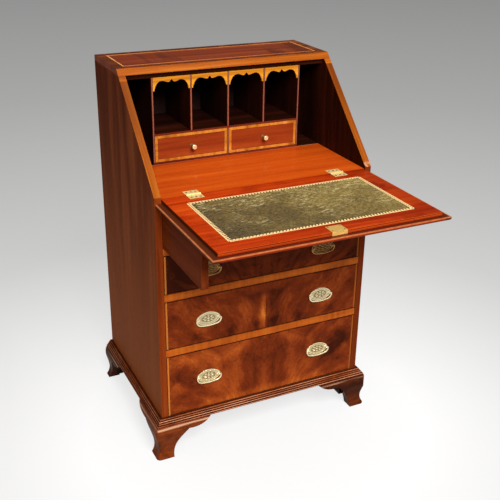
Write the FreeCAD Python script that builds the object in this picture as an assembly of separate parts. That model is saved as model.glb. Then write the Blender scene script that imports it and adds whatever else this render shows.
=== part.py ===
"""A small slope-front writing bureau in mahogany, at rest with its fall open.

Millimetres, +Z up, the front faces -Y. The pieces are laid out with y = 0 on
the front plane of the carcass and z = 0 on the floor, and moved to the origin
under the middle of the open bureau when they are written.
"""
import FreeCAD
import Part
import math
import os

V = FreeCAD.Vector

# Place of the front plane
front_y = -53.0

# Carcass
carcass_width = 610.0
carcass_depth = 452.0
side_t = 18.0
top_t = 15.0
back_t = 8.0
bottom_t = 18.0
bed_t = 18.5
foot_h = 102.0
rail_t = 22.0
rail_depth = 60.0
runner_t = 16.0
runner_w = 30.0
back_board_count = 3
board_gap = 0.4

# Heights of the openings, from the bottom drawer up
bottom_opening_h = 184.0
third_opening_h = 140.0
second_opening_h = 107.0
loper_opening_h = 108.5
top_above_bed = 262.0

# Slope and its light bands
slope_deg = 45.0
slope_foot_above_bed = 7.0
band_t = 1.0
string_inset = 25.0
string_w = 4.0
string_t = 1.0

# Base moulding and feet
reed_count = 4
reed_setback = 3.5
moulding_reach = 19.0
ogee_bulge = 24.0
ogee_bulge_drop = 24.0
ogee_neck = 14.5
ogee_neck_z = 33.0
ogee_toe = 24.0
toe_h = 2.0
bracket_back = 10.0
bracket_l = 134.0
bracket_cusp_u = 70.0
bracket_cusp_drop = 20.0
bracket_toe_u = 24.0
foot_corner_r = 11.0
arch_sag = 9.0
lobe_sag = 8.0
back_bracket_t = 18.0
block_w = 34.0
block_foot_z = 30.0

# Fall
lip_step = 9.5
lip_gap = 0.3
lip_side_inset = 2.0
lip_front = 14.0
lip_edge_r = 6.0
fall_side_gap = 1.5
fall_end_gap = 2.0
fall_root_gap = 0.7
joint_gap = 0.5
leather_side_margin = 44.5
leather_front_margin = 43.0
leather_rear_margin = 48.0
leather_t = 1.0

# Fall hinges
hinge_inset = 85.0
hinge_w = 38.0
leaf_l = 27.0
leaf_t = 1.8
knuckle_r = 2.6
knuckle_gap = 0.3
pin_r = 1.3
pin_play = 0.05
screw_head_r = 2.8
screw_shank_r = 1.3
screw_head_h = 1.5
screw_l = 11.0
screw_slot_w = 0.7
screw_slot_h = 0.6
screw_spread = 12.0
screw_back = 18.0

# Fall lock
lock_x = 8.0
lock_w = 40.0
lock_l = 33.0
lock_plate_t = 1.5
lock_case_margin = 4.0
lock_case_h = 9.0
bolt_w = 18.0
bolt_t = 4.0
bolt_l = 22.0
bolt_throw = 11.0
bolt_play = 0.4
strike_gap = 0.8

# Lopers
loper_t = 17.5
loper_gap = 0.5
loper_lift = 0.3
loper_setback = 1.0
loper_tail = 18.0
loper_travel = 246.0
loper_edge_r = 1.0
partition_t = 12.0
loper_runner_w = 62.0

# Long drawers
drawer_gap = 0.9
drawer_lift = 0.3
drawer_front_t = 20.0
drawer_lining_t = 9.0
drawer_bottom_t = 6.0
drawer_bottom_rise = 8.0
drawer_head = 6.0
drawer_tail = 18.0

# Drawer handles
handle_inset = 119.0
bottom_handle_rise = 8.0
plate_half_w = 34.0
plate_half_h = 19.0
plate_t = 1.0
plate_rim = 2.0
plate_rim_h = 0.8
medallion_half_h = 9.5
medallion_post_gap = 3.0
medallion_h = 1.0
post_x = 29.0
post_r = 2.7
post_shank_r = 2.4
post_hole_gap = 0.1
bail_stand_off = 6.0
bail_drop = 18.6
bail_r = 1.8
bail_corner_r = 2.6
bail_shoulder_r = 14.0
bail_play = 0.05
nut_r = 5.0
nut_t = 4.0

# Pigeonholes and small drawers
unit_setback = 4.0
unit_side_space = 70.5
unit_base_t = 6.0
unit_shelf_t = 5.0
unit_top_t = 5.0
upright_t = 5.0
pigeonhole_count = 4
valance_t = 5.0
valance_h = 35.0
valance_notch_h = 7.0
stop_rail_h = 14.0
stop_rail_t = 24.0
small_opening_h = 73.0
small_gap = 0.6
small_front_t = 12.0
small_lining_t = 5.0
small_bottom_t = 4.0
small_head = 8.0
small_tail = 14.0
knob_r = 7.5
knob_reach = 22.0
knob_head_t = 9.0
knob_rim_t = 3.5
knob_face_r = 5.0
knob_groove_r = 3.7
knob_groove_d = 0.8
knob_button_r = 2.3
knob_rose_r = 5.0
knob_rose_t = 1.2
knob_neck_r = 2.6
knob_shank_r = 2.0

# Lower edge of a valance: share of its half width from the upright, share of its height
valance_shares = ((0.065, 1.0), (0.15, 0.6), (0.32, 0.33), (0.55, 0.28), (0.72, 0.36), (0.88, 0.39))

# Levels that follow from the sizes above
half_w = carcass_width / 2
inner_x = half_w - side_t
back_y = carcass_depth - back_t
bottom_floor = foot_h + bottom_t
lower_rail_z = bottom_floor + bottom_opening_h
third_floor = lower_rail_z + rail_t
upper_rail_z = third_floor + third_opening_h
second_floor = upper_rail_z + rail_t
loper_rail_z = second_floor + second_opening_h
loper_floor = loper_rail_z + rail_t
bed_under = loper_floor + loper_opening_h
bed_z = bed_under + bed_t
top_z = bed_z + top_above_bed
top_under = top_z - top_t
slope_foot_z = bed_z + slope_foot_above_bed
slope = math.radians(slope_deg)
hinge_y = (lip_step - lip_gap - slope_foot_above_bed * math.cos(slope)) / math.sin(slope)


def slope_y(z, inset=0.0):
    """Depth of the slope plane at a height, or of a plane inset square to it."""
    return (z - slope_foot_z + inset / math.cos(slope)) / math.tan(slope)


top_front_y = slope_y(top_z)
top_lip_y = slope_y(top_under)
unit_front = top_front_y - unit_setback
unit_top = top_under - stop_rail_h
unit_floor = bed_z + unit_base_t
shelf_z = unit_floor + small_opening_h
fall_reach = (top_lip_y - hinge_y) * math.cos(slope) + (top_under - bed_z) * math.sin(slope) - fall_end_gap
fall_end_y = hinge_y - fall_reach
lip_end_y = fall_end_y - lip_front
lip_half_w = half_w - lip_side_inset
fall_half_w = inner_x - fall_side_gap
loper_x0 = inner_x - loper_gap - loper_t
loper_l = back_y - loper_setback - loper_tail
partition_x0 = loper_x0 - loper_gap - partition_t
hinge_x = inner_x - hinge_inset
handle_x = inner_x - handle_inset
unit_half_w = inner_x - unit_side_space
medallion_half_w = post_x - post_r - medallion_post_gap
bail_half_w = post_x + post_r + bail_corner_r
foot_reach = max(ogee_bulge, ogee_toe, moulding_reach)


def box(x0, x1, y0, y1, z0, z1):
    return Part.makeBox(x1 - x0, y1 - y0, z1 - z0, V(x0, y0, z0))


def both_sides(shape):
    """The shape and its mirror image on the other side of the bureau."""
    return [shape, shape.mirror(V(0, 0, 0), V(1, 0, 0))]


def on_side(shape, side):
    """A shape made on the right, kept there for side +1 or mirrored for side -1."""
    return shape if side > 0 else shape.mirror(V(0, 0, 0), V(1, 0, 0))


def prism_x(points, x0, x1):
    """A (y, z) outline carried from x0 to x1."""
    corners = [V(x0, y, z) for y, z in points]
    face = Part.Face(Part.makePolygon(corners + corners[:1]))
    return face.extrude(V(x1 - x0, 0, 0))


def rod(radius, start, end):
    along = end - start
    return Part.makeCylinder(radius, along.Length, start, along)


def line(a, b):
    return Part.LineSegment(a, b).toShape()


def arc(a, middle, b):
    return Part.Arc(a, middle, b).toShape()


def arc_about(centre, a, b):
    """The shorter arc from a to b about a centre."""
    middle = (a - centre) + (b - centre)
    middle.normalize()
    return arc(a, centre + middle * (a - centre).Length, b)


def bowed(a, b, sag):
    """An arc in an upright plane that leaves its chord by sag, upwards if positive."""
    across = (b - a).cross(V(0, 1, 0))
    across.normalize()
    if across.z < 0:
        across = across * -1
    return arc(a, (a + b) * 0.5 + across * sag, b)


def spline(points):
    curve = Part.BSplineCurve()
    curve.interpolate(points)
    return curve.toShape()


def cut(shape, tools):
    for tool in tools:
        shape = shape.cut(tool)
    return shape


def save(node, solids):
    """Move a node's solids to the origin and write them as one file."""
    whole = solids[0] if len(solids) == 1 else Part.makeCompound(solids)
    whole = whole.copy()
    whole.translate(V(0, front_y, 0))
    whole.exportStep("parts/" + node + ".step")


# Carcass boards

def carcass_side():
    outline = [
        (0, foot_h),
        (carcass_depth, foot_h),
        (carcass_depth, top_under),
        (slope_y(top_under, band_t), top_under),
        (0, slope_foot_z - band_t / math.cos(slope)),
    ]
    return prism_x(outline, inner_x, half_w)


def slope_bands():
    """Light veneer on the sloping edges of the sides and on the front edge of the top."""
    side_band = [
        (0, slope_foot_z),
        (0, slope_foot_z - band_t / math.cos(slope)),
        (slope_y(top_under, band_t), top_under),
        (top_lip_y, top_under),
    ]
    top_band = [
        (top_lip_y, top_under),
        (slope_y(top_under, band_t), top_under),
        (slope_y(top_z, band_t), top_z),
        (top_front_y, top_z),
    ]
    front = prism_x(top_band, -half_w, half_w)
    return both_sides(prism_x(side_band, inner_x, half_w)) + [front.cut(strike_mortise())]


def top_stringing():
    """A thin light line let into the top, parallel to its edges."""
    x = half_w - string_inset
    y0 = top_front_y + string_inset
    y1 = carcass_depth - string_inset
    outer = box(-x, x, y0, y1, top_z - string_t, top_z)
    w = string_w
    return outer.cut(box(-x + w, x - w, y0 + w, y1 - w, top_z - string_t, top_z))


def top_board():
    outline = [
        (slope_y(top_under, band_t), top_under),
        (carcass_depth, top_under),
        (carcass_depth, top_z),
        (slope_y(top_z, band_t), top_z),
    ]
    board = prism_x(outline, -half_w, half_w)
    return cut(board, [top_stringing(), strike_mortise()])


def back_boards():
    pitch = 2 * inner_x / back_board_count
    boards = []
    for i in range(back_board_count):
        x0 = -inner_x + i * pitch
        x1 = x0 + pitch
        right_gap = board_gap if i < back_board_count - 1 else 0
        boards.append(box(x0, x1 - right_gap, back_y, carcass_depth, foot_h, top_under))
    return boards


def front_rail(z):
    return box(-inner_x, inner_x, 0, rail_depth, z, z + rail_t)


def drawer_runners():
    """Strips on the carcass sides that carry the drawers and the lopers behind the rails."""
    runners = []
    for top, width in ((third_floor, runner_w), (second_floor, runner_w), (loper_floor, loper_runner_w)):
        strip = box(inner_x - width, inner_x, rail_depth, back_y, top - runner_t, top)
        runners += both_sides(strip)
    return runners


def loper_partition():
    x1 = partition_x0 + partition_t
    return box(partition_x0, x1, 0, back_y, loper_floor, bed_under)


def writing_bed():
    board = box(-inner_x, inner_x, hinge_y + joint_gap / 2, back_y, bed_under, bed_z)
    return cut(board, hinge_beds(1) + hinge_screws(1, False))


def fall_stop_rail():
    rail = box(-inner_x, inner_x, unit_front, unit_front + stop_rail_t, unit_top, top_under)
    return rail.cut(strike_mortise())


# Base moulding and feet

def moulding_face():
    """Section of the reeded base moulding, as reach in front of y = 0 and height."""
    reed_h = bottom_t / reed_count
    reach = moulding_reach - reed_h / 2
    edges = [line(V(0, 0, foot_h), V(0, -reach, foot_h))]
    z = foot_h
    for i in range(reed_count):
        low = V(0, -reach, z)
        high = V(0, -reach, z + reed_h)
        edges.append(arc(low, V(0, -reach - reed_h / 2, z + reed_h / 2), high))
        z += reed_h
        is_last = i == reed_count - 1
        reach = 0 if is_last else reach - reed_setback
        edges.append(line(high, V(0, -reach, z)))
    edges.append(line(V(0, 0, z), V(0, 0, foot_h)))
    return Part.Face(Part.Wire(edges))


def mitre_wedge(inside, outside):
    """The far side of the mitre at the right front corner, from behind it to outside it."""
    corners = [
        V(half_w - inside, inside, 0),
        V(half_w + outside, -outside, 0),
        V(half_w + outside, inside, 0),
    ]
    face = Part.Face(Part.makePolygon(corners + corners[:1]))
    return face.extrude(V(0, 0, bottom_floor))


def across_mitre(shape):
    """Mirror image across the mitre plane of the right front corner."""
    return shape.mirror(V(half_w, 0, 0), V(1, 1, 0))


def base_moulding():
    reach = half_w + moulding_reach
    front = moulding_face()
    front.translate(V(-reach, 0, 0))
    front = front.extrude(V(2 * reach, 0, 0))
    front = cut(front, both_sides(mitre_wedge(0, moulding_reach)))
    side = moulding_face()
    side.translate(V(half_w - carcass_depth, 0, 0))
    side = side.extrude(V(carcass_depth + moulding_reach, 0, 0))
    side = across_mitre(side.cut(mitre_wedge(0, moulding_reach)))
    return [front] + both_sides(side)


def ogee_section(x0, x1):
    """The ogee face of a foot, square to the front, carried from x0 to x1."""
    back = V(x0, bracket_back, 0)
    top = V(x0, -moulding_reach, foot_h)
    toe_top = V(x0, -ogee_toe, toe_h)
    toe = V(x0, -ogee_toe, 0)
    face_points = [
        top,
        V(x0, -ogee_bulge, foot_h - ogee_bulge_drop),
        V(x0, -ogee_neck, ogee_neck_z),
        toe_top,
    ]
    edges = [
        line(V(x0, bracket_back, foot_h), top),
        spline(face_points),
        line(toe_top, toe),
        line(toe, back),
        line(back, V(x0, bracket_back, foot_h)),
    ]
    return Part.Face(Part.Wire(edges)).extrude(V(x1 - x0, 0, 0))


def bracket_outline(start_u, y0, y1):
    """The cusped outline of a bracket on the right, from start_u inside the corner."""
    def at(u, z):
        return V(half_w - u, y0, z)

    toe = at(bracket_toe_u, 0)
    cusp = at(bracket_cusp_u, foot_h - bracket_cusp_drop)
    tip = at(bracket_l, foot_h)
    edges = [
        line(at(start_u, 0), toe),
        bowed(toe, cusp, arch_sag),
        bowed(cusp, tip, -lobe_sag),
        line(tip, at(start_u, foot_h)),
        line(at(start_u, foot_h), at(start_u, 0)),
    ]
    return Part.Face(Part.Wire(edges)).extrude(V(0, y1 - y0, 0))


def ogee_bracket(start_u):
    section = ogee_section(half_w - bracket_l, half_w - start_u)
    return section.common(bracket_outline(start_u, -foot_reach, bracket_back))


def corner_block(y0):
    x1 = half_w - bracket_back
    return box(x1 - block_w, x1, y0, y0 + block_w, block_foot_z, foot_h)


def corner_waste():
    """What rounding the outer corner of the right front foot takes away."""
    r = foot_corner_r
    corner = V(half_w + foot_reach, -foot_reach, 0)
    start = corner - V(r, 0, 0)
    end = corner + V(0, r, 0)
    outside = [start - V(0, r, 0), corner + V(r, -r, 0), end + V(r, 0, 0)]
    points = [start] + outside + [end]
    edges = [line(a, b) for a, b in zip(points, points[1:])]
    edges.append(arc_about(start + V(0, r, 0), end, start))
    return Part.Face(Part.Wire(edges)).extrude(V(0, 0, foot_h))


def front_foot():
    """Two ogee brackets mitred at a rounded corner, with a glue block behind."""
    waste = [mitre_wedge(bracket_back, foot_reach), corner_waste()]
    bracket = cut(ogee_bracket(-foot_reach), waste)
    return [bracket, across_mitre(bracket), corner_block(bracket_back)]


def back_foot():
    """An ogee bracket on the side and a plain one across the back."""
    side = across_mitre(ogee_bracket(0)).mirror(V(0, carcass_depth / 2, 0), V(0, 1, 0))
    plain_y = carcass_depth - back_bracket_t
    plain = bracket_outline(bracket_back, plain_y, carcass_depth)
    return [side, plain, corner_block(plain_y - block_w)]


# Fall, its hinges and lock

def at_hinges(shape):
    """A shape made about x = 0, placed at the two hinges."""
    placed = shape.copy()
    placed.translate(V(hinge_x, 0, 0))
    return both_sides(placed)


def hinge_beds(toward):
    """The sinkings for the hinges: toward +1 in the bed, -1 in the fall."""
    half = hinge_w / 2
    y0, y1 = sorted((hinge_y, hinge_y + toward * leaf_l))
    plate = box(-half, half, y0, y1, bed_z - leaf_t, bed_z)
    start = V(-half, hinge_y, bed_z)
    barrel = rod(knuckle_r + knuckle_gap, start, start + V(hinge_w, 0, 0))
    return at_hinges(plate) + at_hinges(barrel)


def screw(with_slot):
    """A countersunk screw with its head flush with z = 0."""
    head = Part.makeCone(screw_shank_r, screw_head_r, screw_head_h, V(0, 0, -screw_head_h))
    shank = rod(screw_shank_r, V(0, 0, -screw_l), V(0, 0, -screw_head_h))
    whole = head.fuse(shank).removeSplitter()
    if not with_slot:
        return whole
    slot = box(-screw_head_r, screw_head_r, -screw_slot_w / 2, screw_slot_w / 2, -screw_slot_h, 0)
    return whole.cut(slot)


def hinge_screws(toward, with_slot):
    screws = []
    for x in (-screw_spread, 0, screw_spread):
        one = screw(with_slot)
        y = hinge_y + toward * screw_back
        one.translate(V(x, y, bed_z))
        screws += at_hinges(one)
    return screws


def hinge_leaf(toward):
    """A flush leaf: the bed's has the two outer knuckles, the fall's the middle one."""
    half = hinge_w / 2
    third = hinge_w / 3
    spans = [(-half, -third / 2), (third / 2, half)] if toward > 0 else [(-third / 2, third / 2)]
    root_y = hinge_y + toward * (knuckle_r + knuckle_gap)
    y0, y1 = sorted((root_y, hinge_y + toward * leaf_l))
    leaf = box(-half, half, y0, y1, bed_z - leaf_t, bed_z)
    for x0, x1 in spans:
        x0 += knuckle_gap / 2
        x1 -= knuckle_gap / 2
        start = V(x0, hinge_y, bed_z)
        neck_y0, neck_y1 = sorted((hinge_y, root_y))
        neck = box(x0, x1, neck_y0, neck_y1, bed_z - leaf_t, bed_z)
        leaf = leaf.fuse(rod(knuckle_r, start, start + V(x1 - x0, 0, 0))).fuse(neck)
    leaf = leaf.removeSplitter()
    start = V(-half, hinge_y, bed_z)
    leaf = leaf.cut(rod(pin_r + pin_play, start, start + V(hinge_w, 0, 0)))
    return cut(at_hinges(leaf)[0], hinge_screws(toward, False))


def hinge_pins():
    start = V(-hinge_w / 2, hinge_y, bed_z)
    return at_hinges(rod(pin_r, start, start + V(hinge_w, 0, 0)))


def bolt_block(extra, y0, y1):
    """The bolt's section, grown by a clearance, from y0 to y1."""
    z1 = bed_z - lock_plate_t - bolt_play
    half = bolt_w / 2
    return box(lock_x - half - extra, lock_x + half + extra, y0, y1, z1 - bolt_t - extra, z1 + extra)


def closed(shape):
    """A piece of the open fall turned up to where it lies on the closed fall."""
    turned = shape.copy()
    turned.rotate(V(0, hinge_y, bed_z), V(1, 0, 0), slope_deg - 180)
    return turned


def strike_mortise():
    """The hollow that takes the thrown bolt when the fall is closed."""
    thrown = bolt_block(strike_gap, fall_end_y - bolt_throw - strike_gap, fall_end_y + fall_end_gap)
    return closed(thrown)


def fall_lock_body():
    """The lock's outside: a plate let in on top, a lip down the step and a case below."""
    half = lock_w / 2
    x0 = lock_x - half
    x1 = lock_x + half
    y0 = fall_end_y
    y1 = y0 + lock_l
    m = lock_case_margin
    plate = box(x0, x1, y0, y1, bed_z - lock_plate_t, bed_z)
    lip = box(x0, x1, y0, y0 + lock_plate_t, bed_z - lip_step, bed_z)
    case = box(x0 + m, x1 - m, y0, y1 - m, bed_z - lock_case_h, bed_z)
    return plate.fuse(lip).fuse(case).removeSplitter()


def fall_lock():
    """The lock with the channel that its bolt runs in."""
    channel_end = fall_end_y + lock_plate_t + bolt_l
    return fall_lock_body().cut(bolt_block(bolt_play, fall_end_y, channel_end))


def fall_lock_bolt():
    start_y = fall_end_y + lock_plate_t / 2
    return bolt_block(0, start_y, start_y + bolt_l)


def leather():
    half = fall_half_w - leather_side_margin
    y0 = fall_end_y + leather_front_margin
    y1 = hinge_y - leather_rear_margin
    return box(-half, half, y0, y1, bed_z - leather_t, bed_z)


def fall_panel():
    """The fall: a raised inner field with a rounded lip on three sides."""
    lip = box(-lip_half_w, lip_half_w, lip_end_y, -fall_root_gap, bed_under, bed_z - lip_step)
    rear_y = -fall_root_gap
    outer_edges = []
    for edge in lip.Edges:
        low = max(v.Z for v in edge.Vertexes) < bed_under + joint_gap
        rear = min(v.Y for v in edge.Vertexes) > rear_y - joint_gap
        if low and not rear:
            outer_edges.append(edge)
    lip = lip.makeFillet(lip_edge_r, outer_edges)
    root_y = hinge_y - joint_gap / 2
    field = box(-fall_half_w, fall_half_w, fall_end_y, root_y, bed_under, bed_z)
    whole = lip.fuse(field).removeSplitter()
    return cut(whole, hinge_beds(-1) + hinge_screws(-1, False) + [leather(), fall_lock_body()])


# Lopers and long drawers

def loper(out):
    """A right-hand loper, drawn out by a distance."""
    y0 = loper_setback - out
    z1 = bed_under - loper_lift
    bar = box(loper_x0, loper_x0 + loper_t, y0, y0 + loper_l, loper_floor + loper_lift, z1)
    ends = [edge for edge in bar.Edges if max(v.Y for v in edge.Vertexes) < y0 + loper_gap]
    return bar.makeFillet(loper_edge_r, ends)


def drawer_front(opening_x, floor, opening_h, handle_z):
    x = opening_x - drawer_gap
    front = box(-x, x, 0, drawer_front_t, floor + drawer_gap, floor + opening_h - drawer_gap)
    holes = []
    for side in (-1, 1):
        for end in (-1, 1):
            start = V(side * handle_x + end * post_x, 0, handle_z)
            holes.append(rod(post_shank_r + post_hole_gap, start, start + V(0, drawer_front_t, 0)))
    return cut(front, holes)


def drawer_box(opening_x, floor, opening_h):
    """Two sides, a back and a bottom behind a drawer front."""
    x = opening_x - drawer_gap
    t = drawer_lining_t
    y0 = drawer_front_t
    y1 = back_y - drawer_tail
    z0 = floor + drawer_lift
    z1 = floor + opening_h - drawer_head
    bottom_z = z0 + drawer_bottom_rise
    sides = both_sides(box(x - t, x, y0, y1, z0, z1))
    back = box(t - x, x - t, y1 - t, y1, bottom_z + drawer_bottom_t, z1)
    bottom = box(t - x, x - t, y0, y1, bottom_z, bottom_z + drawer_bottom_t)
    return sides + [back, bottom]


# Drawer handles

def oval(half_long, half_high, y, thickness):
    """An upright oval slab standing forward from y."""
    face = Part.Face(Part.Wire(Part.Ellipse(V(0, 0, 0), half_long, half_high).toShape()))
    face.rotate(V(0, 0, 0), V(1, 0, 0), 90)
    face.translate(V(0, y, 0))
    return face.extrude(V(0, -thickness, 0))


def handle_plate():
    """An oval plate with a raised rim and a raised oval in the middle."""
    slab = oval(plate_half_w, plate_half_h, 0, plate_t)
    rim = oval(plate_half_w, plate_half_h, -plate_t, plate_rim_h)
    rim = rim.cut(oval(plate_half_w - plate_rim, plate_half_h - plate_rim, -plate_t, plate_rim_h))
    middle = oval(medallion_half_w, medallion_half_h, -plate_t, medallion_h)
    plate = slab.fuse(rim).fuse(middle).removeSplitter()
    holes = []
    for end in (-1, 1):
        start = V(end * post_x, 0, 0)
        holes.append(rod(post_shank_r + post_hole_gap, start, start + V(0, -plate_t, 0)))
    return cut(plate, holes)


def handle_post():
    """A post through the plate and the drawer front, bored for the end of the bail."""
    head_end = -bail_stand_off - post_r
    head = rod(post_r, V(0, -plate_t, 0), V(0, head_end, 0))
    tip = [e for e in head.Edges if max(v.Y for v in e.Vertexes) < head_end + bail_r]
    head = head.makeFillet(post_r / 2, tip)
    shank = rod(post_shank_r, V(0, -plate_t, 0), V(0, drawer_front_t + nut_t, 0))
    bore_start = V(-post_r, -bail_stand_off, 0)
    bore = rod(bail_r + bail_play, bore_start, bore_start + V(2 * post_r, 0, 0))
    return head.fuse(shank).removeSplitter().cut(bore)


def handle_nut():
    sides = 6
    points = []
    for i in range(sides + 1):
        turn = 2 * math.pi * i / sides
        points.append(V(nut_r * math.cos(turn), drawer_front_t, nut_r * math.sin(turn)))
    nut = Part.Face(Part.makePolygon(points)).extrude(V(0, nut_t, 0))
    start = V(0, drawer_front_t, 0)
    return nut.cut(rod(post_shank_r + post_hole_gap, start, start + V(0, nut_t, 0)))


def handle_brasses(handle_z):
    """The plates, posts and nuts of the two handles of one drawer."""
    brasses = []
    for side in (-1, 1):
        pieces = [handle_plate()]
        for end in (-1, 1):
            for piece in (handle_post(), handle_nut()):
                piece.translate(V(end * post_x, 0, 0))
                pieces.append(piece)
        for piece in pieces:
            piece.translate(V(side * handle_x, 0, handle_z))
        brasses += pieces
    return brasses


def bail(side, handle_z):
    """A hanging bail whose ends turn in through the posts."""
    a = bail_half_w
    c = bail_corner_r
    r = bail_shoulder_r
    h = bail_drop - c
    belly_r = ((a - r) ** 2 + h * h - r * r) / (2 * (h - r))
    shoulder_centre = V(-a + r, 0, -c)
    belly_centre = V(0, 0, belly_r - bail_drop)
    outward = shoulder_centre - belly_centre
    outward.normalize()
    tip = V(post_r - post_x, 0, 0)
    bend = V(c - a, 0, 0)
    arm = V(-a, 0, -c)
    joint = shoulder_centre + outward * r
    bottom = V(0, 0, -bail_drop)
    half = [
        line(tip, bend),
        arc_about(V(c - a, 0, -c), bend, arm),
        arc_about(shoulder_centre, arm, joint),
        arc_about(belly_centre, joint, bottom),
    ]
    other = [edge.mirror(V(0, 0, 0), V(1, 0, 0)) for edge in half]
    path = Part.Wire(Part.__sortEdges__(half + other))
    section = Part.Wire(Part.Circle(tip, V(1, 0, 0), bail_r).toShape())
    whole = path.makePipeShell([section], True, False)
    whole.translate(V(side * handle_x, -bail_stand_off, handle_z))
    return whole


# Pigeonholes and small drawers

def upright_centres():
    span = unit_half_w - upright_t / 2
    return [-span + 2 * span * i / pigeonhole_count for i in range(pigeonhole_count + 1)]


def pigeonhole_uprights():
    """Thin uprights: the outer ones reach the base, and a short one parts the small drawers."""
    half = upright_t / 2
    uprights = []
    for i, x in enumerate(upright_centres()):
        is_outer = i in (0, pigeonhole_count)
        foot = unit_floor if is_outer else shelf_z + unit_shelf_t
        uprights.append(box(x - half, x + half, unit_front, back_y, foot, unit_top))
    uprights.append(box(-half, half, unit_front, back_y, unit_floor, shelf_z))
    return uprights


def pigeonhole_boards():
    w = unit_half_w
    inside = w - upright_t
    base = box(-w, w, unit_front, back_y, bed_z, unit_floor)
    shelf = box(-inside, inside, unit_front, back_y, shelf_z, shelf_z + unit_shelf_t)
    cover = box(-w, w, unit_front + stop_rail_t, back_y, unit_top, unit_top + unit_top_t)
    return [base, shelf, cover]


def valance(x0, x1):
    """A shaped board under the top of one pigeonhole, notched at the middle."""
    half = (x1 - x0) / 2
    y = unit_front
    points = [V(half * (u - 1), y, unit_top - valance_h * drop) for u, drop in valance_shares]
    top = V(0, y, unit_top)
    corner = V(-half, y, unit_top)
    foot = V(-half, y, points[0].z)
    notch = V(0, y, unit_top - valance_notch_h)
    left = [
        line(top, corner),
        line(corner, foot),
        line(foot, points[0]),
        spline(points),
        line(points[-1], notch),
    ]
    right = [edge.mirror(V(0, 0, 0), V(1, 0, 0)) for edge in left]
    outline = Part.Wire(Part.__sortEdges__(left + right))
    board = Part.Face(outline).extrude(V(0, valance_t, 0))
    board.translate(V((x0 + x1) / 2, 0, 0))
    return board


def pigeonhole_valances():
    centres = upright_centres()
    half = upright_t / 2
    return [valance(a + half, b - half) for a, b in zip(centres, centres[1:])]


def small_drawer_span():
    return upright_t / 2 + small_gap, unit_half_w - upright_t - small_gap


def small_drawer_front():
    x0, x1 = small_drawer_span()
    y1 = unit_front + small_front_t
    front = box(x0, x1, unit_front, y1, unit_floor + small_gap, shelf_z - small_gap)
    start = V(*knob_place())
    return front.cut(rod(knob_shank_r + post_hole_gap, start, start + V(0, small_front_t, 0)))


def small_drawer_box():
    x0, x1 = small_drawer_span()
    t = small_lining_t
    y0 = unit_front + small_front_t
    y1 = back_y - small_tail
    z0 = unit_floor + drawer_lift
    z1 = shelf_z - small_head
    bottom_top = z0 + small_bottom_t
    sides = [box(x0, x0 + t, y0, y1, z0, z1), box(x1 - t, x1, y0, y1, z0, z1)]
    back = box(x0 + t, x1 - t, y1 - t, y1, bottom_top, z1)
    bottom = box(x0 + t, x1 - t, y0, y1, z0, bottom_top)
    return sides + [back, bottom]


def knob_place():
    x0, x1 = small_drawer_span()
    return (x0 + x1) / 2, unit_front, (unit_floor + shelf_z) / 2


def swept_in(a, b):
    """An arc, seen from above, that leaves a along Y and ends at b."""
    radius = (b - a).Length ** 2 / (2 * (b.x - a.x))
    return arc_about(a + V(radius, 0, 0), a, b)


def small_drawer_knob():
    """A turned knob: rose, flared neck, round rim, a ring cut in its face, and a shank through the front."""
    groove_y = knob_groove_d - knob_reach
    neck = V(knob_neck_r, knob_head_t - knob_reach, 0)
    rim = V(knob_r, knob_rim_t - knob_reach, 0)
    face = V(knob_face_r, -knob_reach, 0)
    shank_points = [
        V(0, small_front_t, 0),
        V(knob_shank_r, small_front_t, 0),
        V(knob_shank_r, 0, 0),
        V(knob_rose_r, 0, 0),
        V(knob_rose_r, -knob_rose_t, 0),
        V(knob_neck_r, -knob_rose_t, 0),
        neck,
    ]
    face_points = [
        face,
        V(knob_groove_r, -knob_reach, 0),
        V(knob_groove_r, groove_y, 0),
        V(knob_button_r, groove_y, 0),
        V(knob_button_r, -knob_reach, 0),
        V(0, -knob_reach, 0),
        shank_points[0],
    ]
    edges = [line(a, b) for a, b in zip(shank_points, shank_points[1:])]
    edges += [swept_in(neck, rim), swept_in(rim, face)]
    edges += [line(a, b) for a, b in zip(face_points, face_points[1:])]
    turned = Part.Face(Part.Wire(edges)).revolve(V(0, 0, 0), V(0, 1, 0), 360)
    turned.translate(V(*knob_place()))
    return turned


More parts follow.
